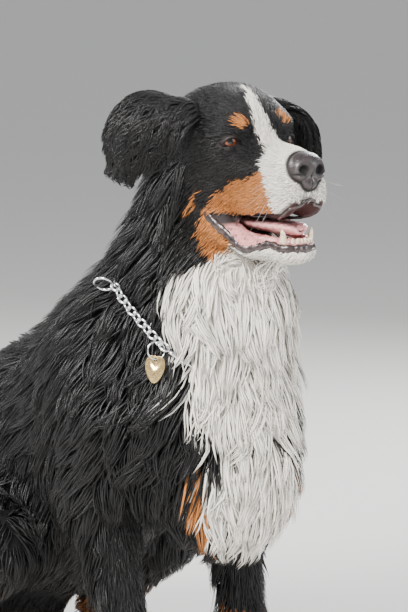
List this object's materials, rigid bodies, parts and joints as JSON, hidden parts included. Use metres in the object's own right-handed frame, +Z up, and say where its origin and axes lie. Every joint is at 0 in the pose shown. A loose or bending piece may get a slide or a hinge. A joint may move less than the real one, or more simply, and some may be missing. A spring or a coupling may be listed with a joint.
{
  "type": "life-size model of a bernese mountain dog",
  "caption": "Life-size model of a seated bernese mountain dog with its mouth open, a long tricolour coat and a chain collar with a tag.",
  "frame": {"origin": "middle of the model's box, at the floor it sits on", "axes": "+X the way the chest faces, +Y to the dog's left, +Z up"},
  "size_m": [1.198, 0.4684, 0.8721],
  "materials": {
    "black_coat": "long glossy black coat",
    "white_coat": "long soft white coat",
    "rust_coat": "short rust-brown coat",
    "nose_skin": "moist pebbled skin",
    "tongue_skin": "moist pink skin",
    "iris_brown": "clear glossy eye",
    "chrome_steel": "polished",
    "tag_brass": "satin"
  },
  "bodies": {
    "root": {"head": "black_coat", "eye_left": "iris_brown", "eye_right": "iris_brown", "nose": "nose_skin", "tongue": "tongue_skin", "ear_left": "black_coat", "ear_right": "black_coat", "neck": "black_coat", "chest": "white_coat", "hindquarters": "black_coat", "tail": "black_coat", "thigh_left": "black_coat", "thigh_right": "black_coat", "hind_paw_left": "white_coat", "hind_paw_right": "white_coat", "foreleg_left": "rust_coat", "foreleg_right": "rust_coat", "forepaw_left": "white_coat", "forepaw_right": "white_coat", "collar_chain": "chrome_steel", "collar_tag": "tag_brass"}
  },
  "joints": []
}
